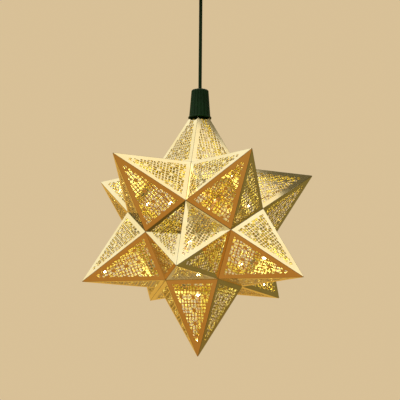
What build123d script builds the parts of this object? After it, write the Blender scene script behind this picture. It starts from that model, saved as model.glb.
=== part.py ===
"""A twelve-spike star pendant of pierced gold sheet, hung from a ceiling on a green cord.

Millimetres, +Z up. The origin is on the ceiling, above the star, where the strap's top face lies.
The star is a dodecahedron with a five-sided spike on each face. Every spike is five pierced panels,
mitred along the ridges, and each panel has a base flange that lies against its neighbour spike's.
"""

from build123d import *
import math
import os

os.makedirs("parts", exist_ok=True)

# ---------------------------------------------------------------- driving dimensions: the star
star_tip_radius = 150.0  # from the star's centre to the sharp point of a spike
star_drop = 320.0  # from the ceiling to the star's centre
sheet = 0.6  # gold sheet thickness
tip_flat_apothem = 0.5  # the blunted point of each spike
flange_width = 7.0  # folded base flange, along the radial plane

# the piercing of a panel
side_border = 5.0  # plain border along each ridge, measured square to it
base_border = 4.8  # plain border along the base edge
rosette_pitch = 15.7  # between the cross bars that carry the rosettes
rosette_rows = 3  # cross bars in a panel
bar_width = 2.4  # the main bars between the windows

# the clips over the flange pairs
clip_length = 10.0
clip_gauge = 0.5  # spring steel thickness
clip_grip = 4.5  # how far the legs reach over the flanges

# ---------------------------------------------------------------- driving dimensions: the hanger
cord_radius = 2.0
cord_gap = 0.35  # radial room round the cord in every hole that it runs through
top_cut = 10.0  # the top spike is cut off this far below its sharp point
plug_height = 9.0  # the wedge plug inside the cut-off spike
tube_wall = 1.0  # hanger tube
tube_shoulder_width = 1.2
tube_shoulder_height = 1.5
thread_gap = 0.05  # radial gap in each screwed joint
lock_nut_across_flats = 10.0
lock_nut_height = 3.2
stop_radius = 3.4  # crimped stop on the cord, under the hanger tube
stop_height = 9.0

# the cap
cap_rim_drop = 20.0  # the cap's rim, below the top spike's sharp point
cap_height = 34.5
cap_top_wall = 1.5
cap_lip_wall = 0.95
cap_lip_height = 1.6
cap_seat_gap = 0.3  # between the rim and the spike's ridges
cap_body_radius = 12.5  # over the flutes, just above the lip
cap_top_radius = 10.2  # over the flutes, under the rounded top
cap_crown_radius = 9.0  # the flat top inside the rounded edge
cap_crown_height = 1.8
flute_count = 18
flute_depth = 0.5
cap_wall = 1.1  # under the flutes

# ---------------------------------------------------------------- driving dimensions: the light
hub_inradius = 14.0  # the hub is a small dodecahedron, one face for each spike
wire_side = 1.0  # stiff flat-sided light wire
wire_tip_gap = 0.3  # between a wire's end and the inside of the spike's point
bead_side = 4.0
bead_length = 5.0
bead_distances = {  # from the star's centre to each bead's middle, along the spike's wire
    "upper_spike_1": [96.0],
    "upper_spike_2": [62.5],
    "upper_spike_3": [75.0, 118.0],
    "upper_spike_4": [75.0, 118.0],
    "upper_spike_5": [49.0],
    "lower_spike_1": [60.0],
    "lower_spike_2": [93.0],
    "lower_spike_3": [75.0, 118.0],
    "lower_spike_4": [75.0, 118.0],
    "lower_spike_5": [119.5],
    "bottom_spike": [77.0, 130.0],
}
stem_side = 3.0  # square stem
stem_gap = 0.6  # between the stem and the hanger tube's shoulder

# ---------------------------------------------------------------- driving dimensions: the ceiling
strap_length = 70.0
strap_width = 18.0
strap_thickness = 2.0
strap_hole_spacing = 54.0
strap_hole_radius = 2.25
clamp_length = 16.0
clamp_width = 14.0
clamp_height = 12.0
block_length = 20.0
block_width = 10.0
block_height = 10.0
block_drop = 1.0  # between the strap's underside and the block
well_side = 4.0  # square wire wells in the block
rose_radius = 40.0
rose_height = 28.0
rose_wall = 1.6
rose_ceiling_gap = 0.3
grip_across_flats = 12.0
grip_height = 8.0
grip_spigot_radius = 4.0
grip_spigot_height = 5.0  # above the rose's floor
grip_nut_across_flats = 12.0
grip_nut_height = 3.0
screw_radius = 1.5  # grub screw in the cord grip
screw_tip_gap = 0.3  # between the loosened screw and the cord

# ---------------------------------------------------------------- worked-out dimensions
golden = (1 + math.sqrt(5)) / 2
base_apothem = star_tip_radius / (golden + 2)  # of a spike's five-sided base
base_height = base_apothem * golden  # from the star's centre to that base
face_angle = math.atan(0.5)  # between a spike's panel and its axis
half_sector = math.radians(36)  # half of one panel's turn about the spike's axis
half_point = math.radians(18)  # half of a panel's own angle at the spike's point
wall_run = sheet / math.cos(face_angle)  # the sheet's thickness, measured square to the spike's axis
centre = Vector(0, 0, -star_drop)

# heights above the star's centre
top_spike_end = star_tip_radius - top_cut
plug_bottom = top_spike_end - plug_height
tube_bottom = plug_bottom - tube_shoulder_height
cap_bottom = star_tip_radius - cap_rim_drop
cap_top = cap_bottom + cap_height
crown_bottom = cap_top - cap_crown_height
tube_top = cap_top - cap_top_wall

# radii about the cord
tube_bore = cord_radius + cord_gap
tube_radius = tube_bore + tube_wall
shoulder_radius = tube_radius + tube_shoulder_width
stem_offset = shoulder_radius + stem_gap + stem_side / 2

# heights in the part's own frame
clamp_bottom = -strap_thickness - clamp_height
rose_floor = -rose_height
grip_bottom = rose_floor - grip_height


# ---------------------------------------------------------------- shared shapes
def outer_apothem(height):
    """The five-sided outside of a spike, at a distance from the star's centre along its axis."""
    return (star_tip_radius - height) * math.tan(face_angle)


def inner_apothem(height):
    """The five-sided inside of a spike at the same distance."""
    return outer_apothem(height) - wall_run


def pentagon(height, apothem):
    """A regular pentagon square to the Z axis, with the middle of one side towards +X."""
    return Pos(0, 0, height) * RegularPolygon(apothem, 5, major_radius=False, rotation=36)


def faceted(rings):
    """A solid with flat sides between rings of points, each ring the same shape at another size."""
    walls = [
        Face(Wire.make_polygon([low[k - 1], low[k], high[k], high[k - 1]]))
        for low, high in zip(rings, rings[1:])
        for k in range(len(low))
    ]
    ends = [Face(Wire.make_polygon(ring)) for ring in (rings[0], rings[-1])]
    return Solid(Shell(walls + ends))


def turned(*points):
    """A closed outline of radii and heights, turned about the Z axis."""
    return revolve(Plane.XZ * make_face(Polyline(*points, close=True)), Axis.Z)


def hexagon_nut(bottom, height, across_flats, bore):
    outline = RegularPolygon(across_flats / 2, 6, major_radius=False) - Circle(bore)
    return extrude(Pos(0, 0, bottom) * outline, amount=height)


def write(node, *solids):
    """One STEP file for a node of one or more solids."""
    shape = solids[0] if len(solids) == 1 else Compound(children=list(solids))
    export_step(shape, f"parts/{node}.step")


# ---------------------------------------------------------------- where the spikes stand
def direction(azimuth, elevation):
    across = math.cos(math.radians(elevation))
    return Vector(
        across * math.cos(math.radians(azimuth)),
        across * math.sin(math.radians(azimuth)),
        math.sin(math.radians(elevation)),
    )


def spike_plane(axis, side):
    """A spike's frame: the star's centre, +Z out along its axis, the middle of one base edge on +X."""
    return Plane(origin=centre, x_dir=side, z_dir=axis)


ring_elevation = math.degrees(face_angle)
up = Vector(0, 0, 1)
spike_planes = {"top_spike": spike_plane(up, direction(90, 0))}
for k in range(5):
    upper_axis = direction(-54 + 72 * k, ring_elevation)
    lower_axis = direction(-90 + 72 * k, -ring_elevation)
    spike_planes[f"upper_spike_{k + 1}"] = spike_plane(upper_axis, up - upper_axis * upper_axis.dot(up))
    spike_planes[f"lower_spike_{k + 1}"] = spike_plane(lower_axis, lower_axis * lower_axis.dot(up) - up)
spike_planes["bottom_spike"] = spike_plane(-up, direction(-90, 0))


# ---------------------------------------------------------------- one pierced panel
def meet(first_normal, first_reach, second_normal, second_reach):
    """The point where two lines in a plane cross, each given by its normal and its reach along it."""
    cross = first_normal[0] * second_normal[1] - first_normal[1] * second_normal[0]
    x = (first_reach * second_normal[1] - second_reach * first_normal[1]) / cross
    z = (first_normal[0] * second_reach - second_normal[0] * first_reach) / cross
    return (x, z)


def sector():
    """The wedge that one panel fills, from the spike's axis out to the mitres."""
    far = star_tip_radius
    reach = far * math.tan(half_sector)
    return extrude(make_face(Polyline((0, 0), (far, -reach), (far, reach), close=True)), amount=far)


def carried_along_edge(points):
    """A section across the base edge, carried along that edge."""
    section = Plane.XZ * make_face(Polyline(*points, close=True))
    return extrude(section, amount=star_tip_radius, both=True)


def window_rows():
    """Each row of windows, as its top and bottom below the spike's point, along the panel."""
    panel_length = base_apothem / math.sin(face_angle)
    field_base = panel_length - base_border
    bars = [field_base - rosette_pitch * (rosette_rows - k) for k in range(rosette_rows)]
    tops = [0] + [bar + bar_width / 2 for bar in bars]
    bottoms = [bar - bar_width / 2 for bar in bars] + [field_base]
    return list(zip(tops, bottoms))


def half_field(depth):
    """Half the width between the side borders, at a depth below the spike's point."""
    return depth * math.tan(half_point) - side_border / math.cos(half_point)


def windows():
    """A three-sided window under the point, then a pair beside the middle bar in each row below."""
    rows = window_rows()
    first = rows[0][1]
    point = (0, -side_border / math.sin(half_point))
    outlines = [[point, (half_field(first), -first), (-half_field(first), -first)]]
    for top, bottom in rows[1:]:
        near = bar_width / 2
        corners = [(near, -top), (half_field(top), -top), (half_field(bottom), -bottom), (near, -bottom)]
        outlines += [corners, [(-u, v) for u, v in corners]]
    return Sketch([make_face(Polyline(*outline, close=True)) for outline in outlines])


def pierced_panel():
    """One panel with its base flange, in the spike's frame, its outer face towards +X."""
    panel_normal = (math.cos(face_angle), math.sin(face_angle))
    radial = math.hypot(1, golden)
    flange_normal = (golden / radial, -1 / radial)
    outer_reach = star_tip_radius * math.sin(face_angle)
    fold = (base_apothem, base_height)
    inner_fold = meet(panel_normal, outer_reach - sheet, flange_normal, -sheet)
    edge = (fold[0] - flange_width / radial, fold[1] - flange_width * golden / radial)
    inner_edge = (edge[0] - sheet * flange_normal[0], edge[1] - sheet * flange_normal[1])
    tip = (tip_flat_apothem, star_tip_radius - tip_flat_apothem / math.tan(face_angle))
    inner_tip = (0, star_tip_radius - sheet / math.sin(face_angle))
    folded = carried_along_edge([tip, (0, tip[1]), inner_tip, inner_fold, inner_edge, edge, fold])
    face = Plane(
        origin=(0, 0, star_tip_radius),
        x_dir=(0, 1, 0),
        z_dir=(panel_normal[0], 0, panel_normal[1]),
    )
    cutter = extrude(face.offset(sheet) * windows(), amount=-3 * sheet)
    return (folded & sector()) - cutter


def spike(plane, panel):
    """Five panels about the spike's axis."""
    return [plane.location * Rot(0, 0, 72 * turn) * panel for turn in range(5)]


# ---------------------------------------------------------------- the clips on the seams
def seam_planes():
    """A frame on each seam's fold: +Z out through its middle, +X square to the flanges."""
    axes = [plane.z_dir for plane in spike_planes.values()]
    fold_reach = math.hypot(base_apothem, base_height)
    pairs = [(a, b) for k, a in enumerate(axes) for b in axes[k + 1 :] if a.dot(b) > 0.1]
    return [
        Plane(origin=centre + (a + b).normalized() * fold_reach, x_dir=a - b, z_dir=a + b)
        for a, b in pairs
    ]


def seam_clip():
    """A square-cornered U of spring steel, pushed over a flange pair from inside the star."""
    height = clip_grip + clip_gauge
    pair = 2 * sheet
    outside = extrude(Rectangle(pair + 2 * clip_gauge, clip_length), amount=height)
    slot = extrude(Pos(0, 0, clip_gauge) * Rectangle(pair, clip_length), amount=height)
    return Pos(0, 0, -flange_width - clip_gauge) * (outside - slot)


# ---------------------------------------------------------------- the hanger, about the star's centre
def hanger_plug():
    """A five-sided wedge that fills the top spike's cut-off end and bears on all five panels."""
    base = pentagon(plug_bottom, inner_apothem(plug_bottom))
    wedge = extrude(base, amount=plug_height, taper=math.degrees(face_angle))
    return wedge - Pos(0, 0, plug_bottom) * Cylinder(tube_radius + thread_gap, 4 * plug_height)


def hanger_tube():
    """Pushed up through the plug until its shoulder bears; the cap rests on its top end."""
    return turned(
        (tube_bore, tube_bottom),
        (shoulder_radius, tube_bottom),
        (shoulder_radius, plug_bottom),
        (tube_radius, plug_bottom),
        (tube_radius, tube_top),
        (tube_bore, tube_top),
    )


def cord_stop():
    """The crimped stop on the cord's end: a round head over a six-sided crimp."""
    head_height = stop_height / 4
    head = turned(
        (0, tube_bottom - head_height),
        (stop_radius, tube_bottom - head_height),
        (stop_radius, tube_bottom),
        (0, tube_bottom),
    )
    crimp = Pos(0, 0, tube_bottom - stop_height) * RegularPolygon(stop_radius, 6)
    return head + extrude(crimp, amount=stop_height - head_height)


# ---------------------------------------------------------------- the cap, about the star's centre
def flute_ring(height, ridge, groove_share):
    """A ring of points, one ridge and one groove for each flute, the groove a share of the ridge."""
    step = math.pi / flute_count
    radii = [ridge, ridge * groove_share] * flute_count
    return [(r * math.cos(k * step), r * math.sin(k * step), height) for k, r in enumerate(radii)]


def cord_cap():
    """A tapered moulded cup with upright flutes, a lip and a rounded crown, open below."""
    ridge_slope = math.tan(face_angle) / math.cos(half_sector)
    mouth = (star_tip_radius - cap_bottom) * ridge_slope + cap_seat_gap
    throat = cap_body_radius - flute_depth - cap_wall
    throat_height = cap_bottom + (mouth - throat) / ridge_slope
    lip_top = cap_bottom + cap_lip_height
    edge_radius = (cap_top_radius + cap_crown_radius) / 2
    edge_height = cap_top - cap_crown_height / 4
    groove_share = 1 - flute_depth / cap_body_radius
    lip = faceted([flute_ring(height, mouth + cap_lip_wall, 1) for height in (cap_bottom, lip_top)])
    body = faceted(
        [
            flute_ring(lip_top, cap_body_radius, groove_share),
            flute_ring(crown_bottom, cap_top_radius, groove_share),
            flute_ring(edge_height, edge_radius, groove_share),
            flute_ring(cap_top, cap_crown_radius, groove_share),
        ]
    )
    cavity = faceted(
        [
            flute_ring(cap_bottom, mouth, 1),
            flute_ring(throat_height, throat, 1),
            flute_ring(crown_bottom, cap_top_radius - flute_depth - cap_wall, 1),
            flute_ring(tube_top, cap_crown_radius - cap_wall, 1),
        ]
    )
    cord_hole = Pos(0, 0, cap_top) * Cylinder(tube_bore, 4 * cap_top_wall)
    return lip + body - cavity - cord_hole


# ---------------------------------------------------------------- the light
def light_hub():
    """A dodecahedron: a block cut back square to each spike's axis."""
    hub = Pos(*centre) * Box(4 * hub_inradius, 4 * hub_inradius, 4 * hub_inradius)
    for plane in spike_planes.values():
        face = Plane(origin=centre + plane.z_dir * hub_inradius, z_dir=plane.z_dir)
        hub = split(hub, bisect_by=face, keep=Keep.BOTTOM)
    return hub


def light_wire():
    """Along a spike's axis, from the hub's face to just short of the inside of the point."""
    corner = wire_side / math.sqrt(2)
    end = star_tip_radius - (corner + wire_tip_gap + wall_run) / math.tan(face_angle)
    return extrude(Pos(0, 0, hub_inradius) * Rectangle(wire_side, wire_side), amount=end - hub_inradius)


def light_bead(distance):
    section = Rectangle(bead_side, bead_side) - Rectangle(wire_side, wire_side)
    return extrude(Pos(0, 0, distance - bead_length / 2) * section, amount=bead_length)


def supply_stem():
    """Carries the hub from the plug, beside the cord's stop."""
    section = Pos(stem_offset, 0, hub_inradius) * Rectangle(stem_side, stem_side)
    return extrude(section, amount=plug_bottom - hub_inradius)


# ---------------------------------------------------------------- the ceiling fitting
def ceiling_strap():
    outline = chamfer(Rectangle(strap_length, strap_width).vertices(), strap_width / 4)
    for side in (-1, 1):
        outline -= Pos(side * strap_hole_spacing / 2, 0) * Circle(strap_hole_radius)
    return extrude(outline, amount=-strap_thickness)


def cord_clamp():
    return extrude(Pos(0, 0, -strap_thickness) * Rectangle(clamp_length, clamp_width), amount=-clamp_height)


def terminal_block():
    """Stands against the clamp's side, with three square wire wells in its underside."""
    block_bottom = -strap_thickness - block_drop - block_height
    place = Pos(0, (clamp_width + block_width) / 2, block_bottom)
    block = extrude(Rectangle(block_length, block_width), amount=block_height)
    for side in (-1, 0, 1):
        well = Pos(side * block_length / 3, 0) * Rectangle(well_side, well_side)
        block -= extrude(well, amount=block_height / 2)
    return place * block


def ceiling_rose():
    """A straight-sided cup with a flat floor, open towards the ceiling."""
    hole = grip_spigot_radius + thread_gap
    return turned(
        (hole, rose_floor),
        (rose_radius, rose_floor),
        (rose_radius, -rose_ceiling_gap),
        (rose_radius - rose_wall, -rose_ceiling_gap),
        (rose_radius - rose_wall, rose_floor + rose_wall),
        (hole, rose_floor + rose_wall),
    )


def cord_grip():
    """A six-sided gland under the rose, its round spigot up through the floor, drilled for the grub screw."""
    body = hexagon_nut(grip_bottom, grip_height, grip_across_flats, tube_bore)
    ring = Circle(grip_spigot_radius) - Circle(tube_bore)
    spigot = extrude(Pos(0, 0, rose_floor) * ring, amount=grip_spigot_height)
    middle = (grip_bottom + rose_floor) / 2
    cross_hole = Plane(origin=(0, 0, middle), z_dir=(0, -1, 0)) * Circle(screw_radius + thread_gap)
    return body + spigot - extrude(cross_hole, amount=grip_across_flats)


def grub_screw():
    tip = cord_radius + screw_tip_gap
    middle = (grip_bottom + rose_floor) / 2
    section = Plane(origin=(0, -tip, middle), z_dir=(0, -1, 0)) * Circle(screw_radius)
    return extrude(section, amount=grip_across_flats / 2 - tip)


def straight_cord():
    """From the clamp's underside to the top of the stop, pulled straight by the star's weight."""
    section = Pos(0, 0, clamp_bottom) * Circle(cord_radius)
    return extrude(section, amount=tube_bottom - star_drop - clamp_bottom)


# ---------------------------------------------------------------- every node
panel = pierced_panel()
above_cut = Pos(0, 0, top_spike_end + top_cut) * Box(4 * top_cut, 4 * top_cut, 2 * top_cut)
for node, plane in spike_planes.items():
    write(node, *spike(plane, panel - above_cut if node == "top_spike" else panel))

clip = seam_clip()
write("seam_clips", *[plane.location * clip for plane in seam_planes()])

top_place = spike_planes["top_spike"].location
lit_places = {node: plane.location for node, plane in spike_planes.items() if node != "top_spike"}
write("hanger_plug", top_place * hanger_plug())
write("hanger_tube", top_place * hanger_tube())
nut = hexagon_nut(top_spike_end, lock_nut_height, lock_nut_across_flats, tube_radius + thread_gap)
write("lock_nut", top_place * nut)
write("cord_stop", top_place * cord_stop())
write("cord_cap", top_place * cord_cap())
write("supply_stem", top_place * supply_stem())
write("light_hub", light_hub())
write("light_wires", *[place * light_wire() for place in lit_places.values()])
beads = [place * light_bead(reach) for node, place in lit_places.items() for reach in bead_distances[node]]
write("light_beads", *beads)

write("ceiling_strap", ceiling_strap())
write("cord_clamp", cord_clamp())
write("terminal_block", terminal_block())
write("ceiling_rose", ceiling_rose())
write("cord_grip", cord_grip())
grip_bore = grip_spigot_radius + thread_gap
write("grip_nut", hexagon_nut(rose_floor + rose_wall, grip_nut_height, grip_nut_across_flats, grip_bore))
write("grub_screw", grub_screw())
write("cord", straight_cord())
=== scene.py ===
"""Looks of the pierced gold star pendant: its finely pierced panels, cap, cord, rose, light and room.

Shapes are worked out in millimetres, in the same frame as the CAD part, and put into meshes in metres.
"""

import math

import bpy
import numpy as np
from mathutils import Matrix, Quaternion, Vector
from mathutils.geometry import delaunay_2d_cdt


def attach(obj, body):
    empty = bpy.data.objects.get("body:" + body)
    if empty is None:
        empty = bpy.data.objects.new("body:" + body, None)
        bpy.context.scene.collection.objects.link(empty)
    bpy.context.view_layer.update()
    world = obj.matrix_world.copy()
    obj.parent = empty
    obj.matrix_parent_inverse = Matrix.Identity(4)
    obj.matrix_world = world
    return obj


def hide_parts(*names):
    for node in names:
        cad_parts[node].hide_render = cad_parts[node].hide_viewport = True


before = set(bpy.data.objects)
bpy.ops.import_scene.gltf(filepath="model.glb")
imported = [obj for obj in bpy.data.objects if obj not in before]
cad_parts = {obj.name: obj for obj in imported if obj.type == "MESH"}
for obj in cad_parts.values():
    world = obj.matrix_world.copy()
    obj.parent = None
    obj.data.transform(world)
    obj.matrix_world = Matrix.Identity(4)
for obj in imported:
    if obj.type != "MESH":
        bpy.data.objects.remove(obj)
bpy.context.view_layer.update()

# ---------------------------------------------------------------- sizes, in millimetres
tip_radius = 150.0  # from the star's centre to a spike's sharp point
star_height = -320.0  # the star's centre, below the ceiling
sheet = 0.6
flange_width = 7.0
top_cut = 10.0  # of the top spike, below its sharp point
tip_blunting = 1.0  # of the other spikes
ridge_radius = 0.45  # rounding along the ridges
fold_radius = 1.0  # rounding of the fold into the base flange

side_border = 5.0
base_border = 4.8
cell_width = 3.53
cell_depth = 3.925
first_rosette = 25.1  # below the spike's point, along the panel
rosette_cells = 4  # from one rosette to the next, in cells
bar_width = 1.0
spoke_width = 0.85
hub_radius = 1.15
least_opening = 0.5  # inscribed radius of the smallest opening that is cut
hidden_by_cap = 24.0  # of the cut spike's panels, below the sharp point
edge_softening = 0.16  # of each opening's outer rim
corner_sharpness = 9.0
outline_points = 16
search_step = 0.3  # between the spots tried as an opening's middle
first_search_row = 12.0  # below the point, where the panels are still too narrow for an opening

cap_bottom, cap_top = star_height + 130.0, star_height + 164.5
cap_lip_radius = 13.61
cap_lip_height = 1.6
flute_count, flute_depth, flute_sharpness = 18, 0.85, 0.7
rose_radius, rose_height, rose_wall = 40.0, 28.0, 1.6
rose_ceiling_gap = 0.3
bead_radius, bead_length = 2.0, 5.0
cord_radius = 2.0
cord_points = [(0, 0, -14.0), (0, 0, -100.0), (0, 0, -190.5)]

golden = (1 + math.sqrt(5)) / 2
face_angle = math.atan(0.5)  # between a panel and its spike's axis
half_point = math.radians(18)  # half of a panel's angle at the point
base_apothem = tip_radius / (golden + 2)
panel_length = base_apothem / math.sin(face_angle)
ridge_turn = math.acos(1 / math.sqrt(5)) / 2  # half of the turn from one panel to the next
fold_turn = math.acos(
    (golden * math.cos(face_angle) - math.sin(face_angle)) / math.hypot(1, golden)
)


# ---------------------------------------------------------------- meshes
def new_piece(name, points, faces, body, finish, smooth=False, uv=None, kinds=None):
    """A mesh piece from points in millimetres, riding on a body."""
    mesh = bpy.data.meshes.new(name)
    mesh.from_pydata((np.asarray(points) * 0.001).tolist(), [], [list(face) for face in faces])
    mesh.polygons.foreach_set("use_smooth", np.full(len(mesh.polygons), smooth))
    if uv is not None:
        corners = np.empty(len(mesh.loops), dtype=np.int64)
        mesh.loops.foreach_get("vertex_index", corners)
        mesh.uv_layers.new(name="panel").data.foreach_set("uv", (uv[corners] * 0.001).ravel())
    if kinds is not None:
        mesh.attributes.new("face_kind", "FLOAT", "FACE").data.foreach_set("value", kinds)
    mesh.materials.append(finish)
    piece = bpy.data.objects.new(name, mesh)
    bpy.context.scene.collection.objects.link(piece)
    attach(piece, body)
    return piece


def grid_faces(rows, columns, closed_rows=False, closed_columns=False):
    """Quads between the points of a grid, wrapped round in the directions that close."""
    row = np.arange(rows if closed_rows else rows - 1)[:, None]
    column = np.arange(columns if closed_columns else columns - 1)[None, :]
    next_row, next_column = (row + 1) % rows, (column + 1) % columns
    corners = np.broadcast_arrays(
        row * columns + column, row * columns + next_column,
        next_row * columns + next_column, next_row * columns + column,
    )
    return np.stack(corners, axis=-1).reshape(-1, 4)


# ---------------------------------------------------------------- the pierced panels
def lattice_openings():
    """Half-planes n.x <= c round every opening of the lattice, in panel coordinates (across, down).

    A plain opening is a cell of the lattice drawn in by half a bar. A rosette takes the place of the
    twelve cells of a four by four block, all but its corners: eight petals, each the region between an
    axis, a diagonal, the block's side and a corner cell, drawn in by half a spoke or half a bar.
    """
    columns, rows = np.meshgrid(np.arange(-8, 8), np.arange(-3, 17))
    columns, rows = columns.ravel(), rows.ravel()
    nodes = [(0, rosette_cells * k) for k in range(5)]
    nodes += [(side * rosette_cells, rosette_cells * k) for side in (-1, 1) for k in (3, 4)]
    taken = np.zeros(len(columns), dtype=bool)
    for column, row in nodes:
        across, down = columns - column + 0.5, rows - row + 0.5
        taken |= (np.maximum(abs(across), abs(down)) < 2) & ~((abs(across) > 1) & (abs(down) > 1))
    across = (columns[~taken] + 0.5) * cell_width
    down = first_rosette + (rows[~taken] + 0.5) * cell_depth
    half_across, half_down = (cell_width - bar_width) / 2, (cell_depth - bar_width) / 2
    # a cell's last line says the third again, because a petal has five lines
    axes = np.array([(1, 0), (-1, 0), (0, 1), (0, -1), (0, 1)], dtype=float)
    last_row = down + half_down
    reach = [across + half_across, half_across - across, last_row, half_down - down, last_row]
    reach = np.stack(reach, axis=1)
    normals = np.broadcast_to(axes, (len(across), 5, 2))
    petals, petal_reach = [], []
    for column, row in nodes:
        hub = np.array([column * cell_width, first_rosette + row * cell_depth])
        for turned in (False, True):
            along, beside = (cell_depth, cell_width) if turned else (cell_width, cell_depth)
            diagonal = np.array([-beside, along]) / math.hypot(along, beside)
            middle = np.array([along * 1.5, beside * 0.6])  # towards the petal's middle, from the hub
            middle /= np.linalg.norm(middle)
            lines = np.array([(0, -1), (1, 0), (0, 1), diagonal, -middle])
            side, far, corner = -spoke_width / 2, 2 * along - bar_width / 2, beside - bar_width / 2
            reaches = np.array([side, far, corner, side, -hub_radius])
            for signs in ((1, 1), (1, -1), (-1, 1), (-1, -1)):
                flipped = lines * np.array(signs)
                flipped = flipped[:, ::-1] if turned else flipped
                petals.append(flipped)
                petal_reach.append(reaches + flipped @ hub)
    normals = np.concatenate([normals, petals])
    reach = np.concatenate([reach, petal_reach])
    border = np.array(
        [
            (math.cos(half_point), -math.sin(half_point)),
            (-math.cos(half_point), -math.sin(half_point)),
            (0, 1),
        ]
    )
    border_reach = np.array([-side_border, -side_border, panel_length - base_border])
    count = len(normals)
    normals = np.concatenate([normals, np.broadcast_to(border, (count, 3, 2))], axis=1)
    reach = np.concatenate([reach, np.broadcast_to(border_reach, (count, 3))], axis=1)
    return normals, reach


def opening_outlines(hidden):
    """Each opening's rim about its inmost point: R(t) = (sum over its lines of (n.e(t) / r)^p)^(-1/p).

    The inmost point is the one of a fine grid that lies furthest from the opening's lines. The power p
    rounds the corners. Openings too small to cut are left out, and those less than hidden below the
    point. A second set of rims, a little wider, is where the softened edges meet the face.
    """
    normals, reach = lattice_openings()
    half_width = panel_length * math.tan(half_point)
    columns = np.arange(-half_width, half_width, search_step)
    rows = np.arange(first_search_row, panel_length, search_step)
    spots = np.reshape(np.meshgrid(columns, rows), (2, -1))
    margin = np.full((len(normals), spots.shape[1]), np.inf)
    for line in range(normals.shape[1]):
        margin = np.minimum(margin, reach[:, line, None] - normals[:, line] @ spots)
    inmost = margin.argmax(axis=1)
    kept = (margin.max(axis=1) > least_opening) & (spots[1][inmost] > hidden)
    centres = spots.T[inmost][kept]
    normals, reach = normals[kept], reach[kept]
    turn = np.arange(outline_points) * 2 * math.pi / outline_points
    rays = np.stack([np.cos(turn), np.sin(turn)])
    gaps = reach - np.einsum("hkc,hc->hk", normals, centres)
    toward = np.maximum(normals @ rays / gaps[:, :, None], 0)
    radius = (toward**corner_sharpness).sum(axis=1) ** (-1 / corner_sharpness)
    return [centres[:, None, :] + (radius + wider)[:, :, None] * rays.T for wider in (0.0, edge_softening)]


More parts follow.
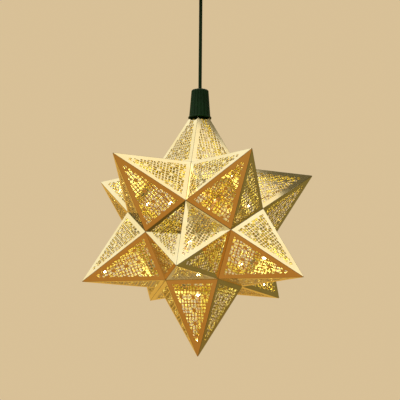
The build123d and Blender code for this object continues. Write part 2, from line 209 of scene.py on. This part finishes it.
def panel_shape(tip_height_lost, hidden=0.0):
    """One panel in its own coordinates (across, down, out), as points, faces and the kind of each face.

    The outer and inner faces are the plane between the borders and the openings, cut into triangles.
    Round each opening a slope and a wall join them. Rounded strips follow the ridges and the base fold:
    at a turn a the strip lies r sin(a) beyond its line and r (1 - cos(a)) behind the face. The flange
    runs on from the fold. A face's kind is 0 outside, 1 inside, 2 on a cut edge and 3 in a seam, where
    the finish paints shade.
    """
    rims, wide_rims = opening_outlines(hidden)
    count = len(rims)
    ridge_inset = ridge_radius * math.tan(ridge_turn)
    fold_inset = fold_radius * math.tan(fold_turn / 2)
    top = max(tip_height_lost / math.cos(face_angle), 1.2 * ridge_inset / math.sin(half_point))
    bottom = panel_length - fold_inset

    def edge(depth):
        return depth * math.tan(half_point) - ridge_inset / math.cos(half_point)

    frame_corners = np.array(
        [(-edge(top), top), (edge(top), top), (edge(bottom), bottom), (-edge(bottom), bottom)]
    )
    flat = np.concatenate([frame_corners, wide_rims.reshape(-1, 2)])
    narrow = np.concatenate([frame_corners, rims.reshape(-1, 2)])
    owner = np.concatenate([np.full(4, -1), np.repeat(np.arange(count), outline_points)])
    loop = 4 + np.arange(count * outline_points).reshape(count, outline_points)
    sides = np.concatenate(
        [
            [(0, 1), (1, 2), (2, 3), (3, 0)],
            np.stack([loop, np.roll(loop, -1, axis=1)], axis=-1).reshape(-1, 2),
        ]
    )
    cut = delaunay_2d_cdt([Vector(point) for point in flat.tolist()], sides.tolist(), [], 0, 1e-5)
    original = np.array([ids[0] for ids in cut[3]])
    triangles = original[np.array(cut[2])]
    owners = owner[triangles]
    inside = (owners[:, 0] >= 0) & (owners[:, 0] == owners[:, 1]) & (owners[:, 1] == owners[:, 2])
    triangles = triangles[~inside]
    corners = flat[triangles]
    spread = np.cross(corners[:, 1] - corners[:, 0], corners[:, 2] - corners[:, 0])
    triangles = np.where(spread[:, None] < 0, triangles[:, ::-1], triangles)

    total = len(flat)
    outer = np.column_stack([flat, np.zeros(total)])
    inner = np.column_stack([narrow, np.full(total, -sheet)])
    edges = np.column_stack([narrow, np.full(total, -edge_softening)])[4:]
    following = np.roll(loop, -1, axis=1)
    low, low_following = loop + 2 * total - 4, following + 2 * total - 4
    slopes = np.stack([loop, low, low_following, following], axis=-1).reshape(-1, 4)
    walls = np.stack([low, loop + total, following + total, low_following], axis=-1).reshape(-1, 4)
    points = [outer, inner, edges]
    faces = [*triangles[:, ::-1], *(triangles + total), *slopes[:, ::-1], *walls[:, ::-1]]
    kinds = [np.zeros(len(triangles)), np.ones(len(triangles))]
    kinds += [np.zeros(len(slopes)), np.full(len(walls), 2.0)]

    # the rounded strips, as points[row, end]
    def strip(first, last, outward, turns, radius, beyond=None):
        ends = np.array([first, last])
        offsets = np.stack([radius * np.sin(turns), radius * (np.cos(turns) - 1)], axis=-1)
        if beyond is not None:
            offsets = np.concatenate([offsets, [offsets[-1] + np.array(beyond)]])
        rows = np.empty((len(offsets), 2, 3))
        rows[:, :, :2] = ends[None, :, :2] + offsets[:, None, :1] * np.array(outward)
        rows[:, :, 2] = offsets[:, 1:]
        return rows

    turns = np.linspace(0, ridge_turn, 4)
    start = 3 * total - 4
    for first, last, outward in (
        (frame_corners[1], frame_corners[2], (math.cos(half_point), -math.sin(half_point))),
        (frame_corners[3], frame_corners[0], (-math.cos(half_point), -math.sin(half_point))),
    ):
        rows = strip(first, last, outward, turns, ridge_radius)
        rows = np.concatenate([rows, [[(*first, -sheet), (*last, -sheet)]]])
        points.append(rows.reshape(-1, 3))
        faces += list(grid_faces(len(rows), 2)[:, ::-1] + start)
        kinds.append(np.array([0.0, 3.0, 3.0, 3.0]))  # one bright, then two at the seam and the mitre, painted dark as shade
        start += rows.shape[0] * 2
    turns = np.linspace(0, fold_turn, 5)
    direction = (math.cos(fold_turn) * flange_width, -math.sin(fold_turn) * flange_width)
    rows = strip(frame_corners[2], frame_corners[3], (0, 1), turns, fold_radius, direction)
    back = rows[::-1] + np.array([0, -math.sin(fold_turn), -math.cos(fold_turn)]) * sheet
    back = back[:2]
    back[1, :, 1:] = (bottom - 0.2 * sheet, -sheet)
    rows = np.concatenate([rows, back])
    points.append(rows.reshape(-1, 3))
    faces += list(grid_faces(len(rows), 2)[:, ::-1] + start)
    kinds.append(np.array([0.0, 0.0, 3.0, 3.0, 3.0, 2.0, 1.0]))  # two soft, three in the seam painted dark as shade, edge, back
    return np.concatenate(points), faces, np.concatenate(kinds)


def spike_shape(panel):
    """Five panels about a spike's axis.

    Down the face is (sin, 0, -cos) of the face angle, and out of it is (cos, 0, sin).
    """
    points, faces, kinds = panel
    down = np.array([math.sin(face_angle), 0, -math.cos(face_angle)])
    out = np.array([math.cos(face_angle), 0, math.sin(face_angle)])
    placed = np.array([0, 0, tip_radius]) + points @ np.stack([[0, 1, 0], down, out])
    turn = np.arange(5) * 2 * math.pi / 5
    spin = np.zeros((5, 3, 3))
    spin[:, 0, 0] = spin[:, 1, 1] = np.cos(turn)
    spin[:, 0, 1], spin[:, 1, 0] = -np.sin(turn), np.sin(turn)
    spin[:, 2, 2] = 1
    around = np.einsum("tij,pj->tpi", spin, placed).reshape(-1, 3)
    every = [face + k * len(points) for k in range(5) for face in faces]
    return around, every, np.tile(points[:, :2], (5, 1)), np.tile(kinds, 5)


def direction(azimuth, elevation):
    azimuth, elevation = math.radians(azimuth), math.radians(elevation)
    across = math.cos(elevation)
    return np.array([across * math.cos(azimuth), across * math.sin(azimuth), math.sin(elevation)])


ring = math.degrees(face_angle)
upright = np.array([0.0, 0.0, 1.0])
spike_axes = {"top_spike": (upright, direction(90, 0))}
for k in range(5):
    upper, lower = direction(-54 + 72 * k, ring), direction(-90 + 72 * k, -ring)
    spike_axes[f"upper_spike_{k + 1}"] = (upper, upright - upper * upper[2])
    spike_axes[f"lower_spike_{k + 1}"] = (lower, lower * lower[2] - upright)
spike_axes["bottom_spike"] = (-upright, direction(-90, 0))


def stand_on(points, axis, side):
    """Points of a spike's own frame, put on the spike that points along axis."""
    side = side / np.linalg.norm(side)
    return np.asarray(points) @ np.stack([side, np.cross(axis, side), axis]) + np.array([0, 0, star_height])


# ---------------------------------------------------------------- finishes
class Wire:
    """A socket in a finish. Arithmetic on it adds Math nodes."""

    def __init__(self, finish, socket):
        self.finish, self.socket = finish, socket

    def maths(self, operation, first, second=None):
        return self.finish.node("ShaderNodeMath", {"operation": operation}, {0: first, 1: second})

    def __add__(self, other):
        return self.maths("ADD", self, other)

    def __mul__(self, other):
        return self.maths("MULTIPLY", self, other)

    __radd__ = __add__
    __rmul__ = __mul__

    def between(self, low, high, course="SMOOTHSTEP"):
        """0 up to low and 1 from high, on a smooth course or, with LINEAR, a straight one."""
        sockets = {"Value": self, "From Min": low, "From Max": high}
        return self.finish.node("ShaderNodeMapRange", {"interpolation_type": course}, sockets)


class Finish:
    """A material or world, whose nodes all come from one method."""

    def __init__(self, holder):
        self.holder = holder
        holder.use_nodes = True
        self.tree = holder.node_tree
        self.tree.nodes.clear()

    def node(self, kind, settings=None, sockets=None, output=0):
        node = self.tree.nodes.new(kind)
        for name, value in (settings or {}).items():
            if name == "stops":
                ramp = node.color_ramp.elements
                while len(ramp) < len(value):
                    ramp.new(0.5)
                for stop, (position, colour) in zip(ramp, value):
                    stop.position, stop.color = position, (*colour, 1)
            else:
                setattr(node, name, value)
        for name, value in (sockets or {}).items():
            if isinstance(value, Wire):
                self.tree.links.new(value.socket, node.inputs[name])
            elif value is not None:
                node.inputs[name].default_value = value
        return Wire(self, node.outputs[output])

    def place(self, source="Object", scale=(1, 1, 1)):
        """Coordinates on the piece, stretched by scale."""
        here = self.node("ShaderNodeTexCoord", output=source)
        return self.node("ShaderNodeMapping", None, {"Vector": here, "Scale": scale})

    def cloud(self, scale, detail=3.0, stretch=(1, 1, 1), source="Object"):
        where = self.place(source, stretch)
        return self.node("ShaderNodeTexNoise", None, {"Vector": where, "Scale": scale, "Detail": detail})

    def blend(self, share, first, second):
        """A colour between two colours."""
        colours = {0: share, 6: first, 7: second}
        return self.node("ShaderNodeMix", {"data_type": "RGBA"}, colours, output=2)

    def bump(self, height, distance, strength=1.0):
        sockets = {"Height": height, "Distance": distance, "Strength": strength}
        return self.node("ShaderNodeBump", None, sockets)

    def surface(self, **sockets):
        """The whole finish, by the shader's own socket names."""
        named = {}
        for name, value in sockets.items():
            named[name.replace("_", " ").title().replace("Ior", "IOR")] = value
        shader = self.node("ShaderNodeBsdfPrincipled", None, named, output="BSDF")
        self.node_end("ShaderNodeOutputMaterial", shader)
        return self.holder

    def node_end(self, kind, shader):
        end = self.tree.nodes.new(kind)
        self.tree.links.new(shader.socket, end.inputs["Surface"])


def finish(name):
    return Finish(bpy.data.materials.new(name))


def polished_gold():
    """Thin gold-plated sheet: polished outside with faint drawing lines, satin inside.

    It is dull where it was cut, and painted dark in the seams as the shade that falls in them.
    """
    gold = finish("polished_gold")
    kind = gold.node("ShaderNodeAttribute", {"attribute_name": "face_kind"}, output="Fac")
    inside, cut, seam = [kind.between(low, low + 1, "LINEAR") for low in (0.0, 1.0, 2.0)]
    patches = gold.cloud(22, 4)
    lines = gold.cloud(900, 3, (1, 0.02, 1), "UV")
    polished = gold.blend(patches.between(0.35, 0.7), (0.91, 0.76, 0.42, 1), (0.95, 0.84, 0.54, 1))
    satin = gold.blend(patches, (0.88, 0.78, 0.30, 1), (0.92, 0.83, 0.36, 1))
    shine = patches * 0.03 + lines * 0.03 + 0.03
    # painted shade: the seam faces of the ridge and fold strips get a near-black colour for the shadow in
    # their grooves
    cut_edge_and_seam_shade = gold.blend(seam, (0.40, 0.27, 0.09, 1), (0.05, 0.04, 0.025, 1))
    dishing = gold.cloud(14, 1)
    return gold.surface(
        base_color=gold.blend(cut, gold.blend(inside, polished, satin), cut_edge_and_seam_shade),
        metallic=1.0,
        roughness=shine + inside * 0.40,
        normal=gold.bump(dishing * 0.00010 + lines * 0.0000015, 1.0, 0.6),
    )


def moulded_green():
    green = finish("moulded_green")
    mottle = green.cloud(260, 4)
    wear = green.cloud(60, 3)
    return green.surface(
        base_color=green.blend(wear.between(0.3, 0.8), (0.001, 0.030, 0.003, 1), (0.004, 0.056, 0.008, 1)),
        roughness=0.34 + mottle * 0.18,
        normal=green.bump(mottle, 0.00012, 0.5),
        specular_ior_level=0.22,
    )


def cord_cover():
    cover = finish("cord_cover")
    grain = cover.cloud(700, 3, (1, 1, 0.15))
    return cover.surface(
        base_color=cover.blend(grain, (0.003, 0.028, 0.004, 1), (0.005, 0.040, 0.008, 1)),
        roughness=0.42 + grain * 0.15,
        normal=cover.bump(grain, 0.0001, 0.4),
        specular_ior_level=0.25,
    )


def plain_metal(name, dark, light, rough, stretch):
    metal = finish(name)
    grain = metal.cloud(500, 4, stretch)
    patches = metal.cloud(70, 3)
    return metal.surface(
        base_color=metal.blend(patches.between(0.3, 0.7), (*dark, 1), (*light, 1)),
        metallic=1.0,
        roughness=rough + grain * 0.15,
        normal=metal.bump(grain, 0.00005, 0.4),
    )


def white_moulding():
    white = finish("white_moulding")
    patches = white.cloud(90, 3)
    fine = white.cloud(900, 2)
    return white.surface(
        base_color=white.blend(patches, (0.62, 0.58, 0.50, 1), (0.72, 0.69, 0.62, 1)),
        roughness=0.38 + fine * 0.15,
        normal=white.bump(fine, 0.00008, 0.3),
    )


def lit_bead():
    """A clear bead, warm white, which shines from its outer end."""
    bead = finish("lit_bead")
    sparkle = bead.cloud(900, 2)
    outer_end = bead.node("ShaderNodeAttribute", {"attribute_name": "outer_end"}, output="Fac")
    return bead.surface(
        base_color=(1.0, 0.9, 0.7, 1),
        roughness=0.12,
        emission_color=bead.blend(
            outer_end.between(0.55, 0.90), (0.012, 0.008, 0.003, 1),
            bead.blend(sparkle, (1.0, 0.82, 0.36, 1), (1.0, 0.90, 0.52, 1)),
        ),
        emission_strength=60.0,
    )


gold_finish = polished_gold()
green_finish = moulded_green()
cord_finish = cord_cover()
brass_finish = plain_metal("turned_brass", (0.60, 0.42, 0.17), (0.72, 0.53, 0.24), 0.22, (1, 1, 12))
steel_finish = plain_metal("spring_steel", (0.42, 0.42, 0.43), (0.58, 0.58, 0.60), 0.25, (1, 1, 8))
zinc_finish = plain_metal("zinc_plate", (0.52, 0.54, 0.57), (0.68, 0.69, 0.71), 0.30, (8, 1, 1))
copper_finish = plain_metal("copper_wire", (0.62, 0.30, 0.14), (0.76, 0.42, 0.22), 0.28, (1, 1, 1))
white_finish = white_moulding()
bead_finish = lit_bead()

# ---------------------------------------------------------------- the spikes
whole_spike = spike_shape(panel_shape(tip_blunting))
cut_spike = spike_shape(panel_shape(top_cut, hidden_by_cap))
for node, (axis, side) in spike_axes.items():
    points, faces, uv, kinds = cut_spike if node == "top_spike" else whole_spike
    piece = new_piece(
        f"pierced_{node}", stand_on(points, axis, side), faces, "star", gold_finish,
        uv=uv, kinds=kinds,
    )
    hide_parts(node)


# ---------------------------------------------------------------- turned and fluted pieces
def turned_piece(name, profile, body, finish, steps=96, flutes=None):
    """A closed outline of radii and heights carried round the Z axis: (r cos(t), r sin(t), z).

    Where flutes gives a depth for each outline point, its radius is r - depth (1 - |cos(n t / 2)|^q).
    """
    profile = np.asarray(profile, dtype=float)
    turn = np.arange(steps) * 2 * math.pi / steps
    radius = np.repeat(profile[:, :1], steps, axis=1)
    if flutes is not None:
        depth, number, power = flutes
        radius = radius - np.asarray(depth)[:, None] * (1 - np.abs(np.cos(number * turn / 2)) ** power)
    points = np.stack(
        [radius * np.cos(turn), radius * np.sin(turn), np.repeat(profile[:, 1:], steps, axis=1)], axis=-1
    )
    faces = grid_faces(len(profile), steps, closed_rows=True, closed_columns=True)
    return new_piece(name, points.reshape(-1, 3), faces, body, finish, smooth=True)


def rounded(corner_points, radius, steps=5):
    """A closed outline with each corner replaced by an arc that leaves it at radius times tan(turn / 2)."""
    corners = np.asarray(corner_points, dtype=float)
    before, after = np.roll(corners, 1, axis=0) - corners, np.roll(corners, -1, axis=0) - corners
    radius = np.broadcast_to(radius, len(corners))
    outline = []
    for corner, back, on, r in zip(corners, before, after, radius):
        back_length, on_length = np.linalg.norm(back), np.linalg.norm(on)
        back, on = back / back_length, on / on_length
        half = math.acos(np.clip(back @ on, -1, 1)) / 2
        reach = min(r / math.tan(half), 0.45 * back_length, 0.45 * on_length)
        share = np.linspace(0, 1, steps)[:, None]
        outline.append(
            (1 - share) ** 2 * (corner + back * reach)
            + 2 * share * (1 - share) * corner
            + share**2 * (corner + on * reach)
        )
    return np.concatenate(outline)


cap_outline = rounded(
    [
        (2.4, cap_top), (2.4, cap_top - 1.5), (7.8, cap_top - 1.5), (8.6, cap_top - 2.5),
        (10.9, cap_bottom + 2.9),
        (12.66, cap_bottom), (cap_lip_radius, cap_bottom), (cap_lip_radius, cap_bottom + cap_lip_height),
        (12.5, cap_bottom + cap_lip_height + 0.6),
        (10.2, cap_top - 1.8), (9.75, cap_top - 0.45), (9.0, cap_top),
    ],
    [0.2, 0.1, 0.3, 0.5, 0.3, 0.2, 0.4, 0.35, 0.4, 1.0, 0.6, 0.8],
)
cap_radius, height = cap_outline.T
past_lip = np.arange(len(height)) > 35  # the outline comes up the outside after the inside and the lip
fluted = past_lip & (cap_radius > 8.3) & (height > cap_bottom + cap_lip_height + 0.1)
cap_piece = turned_piece(
    "fluted_cap", cap_outline, "cap", green_finish, 216,
    (np.where(fluted, flute_depth, 0.0), flute_count, flute_sharpness),
)
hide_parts("cord_cap")

rose_inner, rose_floor, rose_hole = rose_radius - rose_wall, rose_wall - rose_height, 4.05
rose_piece = turned_piece(
    "rounded_rose",
    rounded(
        [
            (rose_hole, -rose_height), (rose_radius, -rose_height), (rose_radius, -rose_ceiling_gap),
            (rose_inner, -rose_ceiling_gap), (rose_inner, rose_floor), (rose_hole, rose_floor),
        ],
        [0.3, 5.0, 0.5, 0.5, 3.4, 0.2], 9,
    )[::-1],
    "rose", green_finish, 128,
)
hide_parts("ceiling_rose")


# ---------------------------------------------------------------- the light
def bead_shape(rings=9, steps=14):
    """A bead about the Z axis, a rounded barrel.

    Its radius is r (1 - |2 h|^3)^(1/3) at a share h of its length, from -1/2 to 1/2.
    """
    share = np.sin(np.linspace(-math.pi / 2, math.pi / 2, rings)) / 2
    radius = bead_radius * (1 - np.abs(2 * share * 0.995) ** 3) ** (1 / 3)
    turn = np.arange(steps) * 2 * math.pi / steps
    height = np.repeat(share[:, None] * bead_length, steps, axis=1)
    points = np.stack([radius[:, None] * np.cos(turn), radius[:, None] * np.sin(turn), height], axis=-1)
    ends = [np.arange(steps)[::-1], (rings - 1) * steps + np.arange(steps)]
    faces = [*grid_faces(rings, steps, closed_columns=True), *ends]
    return points.reshape(-1, 3), faces


bead_distances = {  # from the star's centre to each bead's middle
    "upper_spike_1": [96.0],
    "upper_spike_2": [62.5],
    "upper_spike_3": [75.0, 118.0],
    "upper_spike_4": [75.0, 118.0],
    "upper_spike_5": [49.0],
    "lower_spike_1": [60.0],
    "lower_spike_2": [93.0],
    "lower_spike_3": [75.0, 118.0],
    "lower_spike_4": [75.0, 118.0],
    "lower_spike_5": [119.5],
    "bottom_spike": [77.0, 130.0],
}
bead_points, bead_faces = bead_shape()
all_points, all_faces = [], []
for node, distances in bead_distances.items():
    for distance in distances:
        all_faces += [face + len(all_points) * len(bead_points) for face in bead_faces]
        all_points.append(stand_on(bead_points + np.array([0, 0, distance]), *spike_axes[node]))
bead_piece = new_piece(
    "clear_beads", np.concatenate(all_points), all_faces, "star", bead_finish, smooth=True
)
bead_ends = np.tile(bead_points[:, 2] / bead_length + 0.5, len(all_points))
bead_piece.data.attributes.new("outer_end", "FLOAT", "POINT").data.foreach_set("value", bead_ends)
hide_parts("light_beads")

# ---------------------------------------------------------------- the cord
cord_curve = bpy.data.curves.new("green_cord", "CURVE")
cord_curve.dimensions = "3D"
spline = cord_curve.splines.new("NURBS")
spline.points.add(len(cord_points) - 1)
spline.points.foreach_set("co", np.array([(x, y, z, 1000) for x, y, z in cord_points]).ravel() * 0.001)
spline.order_u = 3
spline.use_endpoint_u = True
cord_curve.bevel_depth = cord_radius * 0.001
cord_curve.bevel_resolution = 6
cord_curve.use_fill_caps = True
cord_curve.materials.append(cord_finish)
cord_piece = bpy.data.objects.new("green_cord", cord_curve)
bpy.context.scene.collection.objects.link(cord_piece)
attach(cord_piece, "ceiling")
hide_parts("cord")

# ---------------------------------------------------------------- the carried-over pieces
carried = {
    "seam_clips": steel_finish, "hanger_plug": green_finish, "hanger_tube": brass_finish,
    "lock_nut": brass_finish, "cord_stop": steel_finish, "supply_stem": white_finish,
    "light_hub": white_finish, "light_wires": copper_finish, "ceiling_strap": zinc_finish,
    "cord_clamp": white_finish, "terminal_block": white_finish, "cord_grip": green_finish,
    "grip_nut": zinc_finish, "grub_screw": zinc_finish,
}
for node, material in carried.items():
    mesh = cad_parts[node].data
    mesh.materials.clear()
    mesh.materials.append(material)


# ---------------------------------------------------------------- the room
def room_floor():
    """A wide pale disc, 3.4 m below the ceiling."""
    turn = np.arange(64) * 2 * math.pi / 64
    points = np.stack([2200 * np.cos(turn), 2200 * np.sin(turn), np.full(64, -3400.0)], axis=-1) * 0.001
    mesh = bpy.data.meshes.new("floor")
    mesh.from_pydata(points.tolist(), [], [list(range(64))])
    pale = finish("pale_floor")
    grain = pale.cloud(3, 2)
    boards = pale.blend(grain, (0.78, 0.68, 0.53, 1), (0.82, 0.72, 0.57, 1))
    mesh.materials.append(pale.surface(base_color=boards, roughness=0.8))
    floor = bpy.data.objects.new("floor", mesh)
    bpy.context.scene.collection.objects.link(floor)


def lamp(name, kind, place, energy, colour, size, target=None, roll=0.0):
    """A rectangular lamp of two sides, turned to its target and rolled about that line, or a round one."""
    light = bpy.data.lights.new(name, kind)
    light.energy, light.color = energy, colour
    if kind == "AREA":
        light.shape, light.size, light.size_y = "RECTANGLE", *size
    else:
        light.shadow_soft_size = size
    holder = bpy.data.objects.new(name, light)
    bpy.context.scene.collection.objects.link(holder)
    holder.location = place
    if target is not None:
        turned = (Vector(target) - Vector(place)).to_track_quat("-Z", "Y")
        holder.rotation_euler = (turned @ Quaternion((0, 0, 1), roll)).to_euler()
    return holder


def warm_room():
    """Pale to the camera. To the metal: warm boards below, a dim room at eye level, a cream ceiling above.

    The wall behind the star is lit by it, and the ceiling is dim on the right, where a lamp stands.
    """
    world = bpy.data.worlds.new("warm_room")
    bpy.context.scene.world = world
    room = Finish(world)
    heading = room.node("ShaderNodeTexCoord", output="Generated")
    level = room.node("ShaderNodeSeparateXYZ", None, {0: heading}, output=2)
    stops = [
        (0.00, (0.30, 0.14, 0.03)), (0.17, (0.46, 0.22, 0.055)), (0.27, (0.34, 0.20, 0.05)),
        (0.37, (0.20, 0.155, 0.05)), (0.50, (0.22, 0.175, 0.06)), (0.60, (0.12, 0.10, 0.05)),
        (0.70, (0.12, 0.11, 0.06)), (0.76, (1.02, 0.99, 0.87)), (1.00, (1.08, 1.05, 0.93)),
    ]
    around = room.node("ShaderNodeValToRGB", {"stops": stops}, {0: level * 0.5 + 0.5})

    def toward(azimuth, elevation, edge, full):
        """1 in a round patch of the room, 0 outside it, by the cosine of the angle from its middle."""
        sockets = {0: heading, 1: tuple(direction(azimuth, elevation))}
        cosine = room.node("ShaderNodeVectorMath", {"operation": "DOT_PRODUCT"}, sockets, output="Value")
        return cosine.between(edge, full)

    dim = room.blend(toward(-6, 58, 0.74, 0.86), around, (0.13, 0.11, 0.06, 1))
    lit = room.blend(toward(106, -4, 0.72, 0.92), dim, (0.66, 0.39, 0.08, 1))
    seen = room.node("ShaderNodeLightPath", output="Is Camera Ray")
    colour = room.blend(seen, lit, (0.69, 0.53, 0.31, 1))
    shader = room.node("ShaderNodeBackground", None, {"Color": colour, "Strength": 1.0})
    room.node_end("ShaderNodeOutputWorld", shader)


room_floor()
warm_room()
centre = (0, 0, star_height * 0.001)
right_place = np.array([0.742, -0.306, 0.728])
right_target = right_place - direction(-6, 55)
daylight = (1.0, 0.95, 0.86)
lamp("top_light", "AREA", (-0.9, -0.5, 1.1), 3.5, daylight, (1.0, 1.0), centre)
lamp("right_light", "AREA", right_place, 1.50, daylight, (0.56, 0.85), right_target, math.radians(11.3))
lamp("inner_glow", "POINT", centre, 0.36, (1.0, 0.91, 0.48), 0.03)

# ---------------------------------------------------------------- the camera
view_azimuth = math.radians(-79.655)
view_elevation = math.radians(-10.862)
view_distance = 2.21489
pan, tilt, roll = 0.00063, 0.014594, math.radians(0.507)
toward_camera = np.array(
    [
        math.cos(view_elevation) * math.cos(view_azimuth),
        math.cos(view_elevation) * math.sin(view_azimuth),
        math.sin(view_elevation),
    ]
)
ahead = -toward_camera
right = np.array([-math.sin(view_azimuth), math.cos(view_azimuth), 0.0])
over = np.cross(right, ahead)
right, over = right * math.cos(roll) + over * math.sin(roll), over * math.cos(roll) - right * math.sin(roll)
right, ahead = right * math.cos(pan) - ahead * math.sin(pan), right * math.sin(pan) + ahead * math.cos(pan)
over, ahead = over * math.cos(tilt) - ahead * math.sin(tilt), over * math.sin(tilt) + ahead * math.cos(tilt)
camera = bpy.data.cameras.new("camera")
camera.sensor_width = 36.0
camera.lens = 1916.48 / 400 * 36.0
camera_holder = bpy.data.objects.new("camera", camera)
bpy.context.scene.collection.objects.link(camera_holder)
placing = np.eye(4)
placing[:3, 0], placing[:3, 1], placing[:3, 2] = right, over, -ahead
placing[:3, 3] = np.array(centre) + toward_camera * view_distance
camera_holder.matrix_world = Matrix(placing.tolist())
bpy.context.scene.camera = camera_holder
bpy.context.scene.view_settings.view_transform = "Standard"
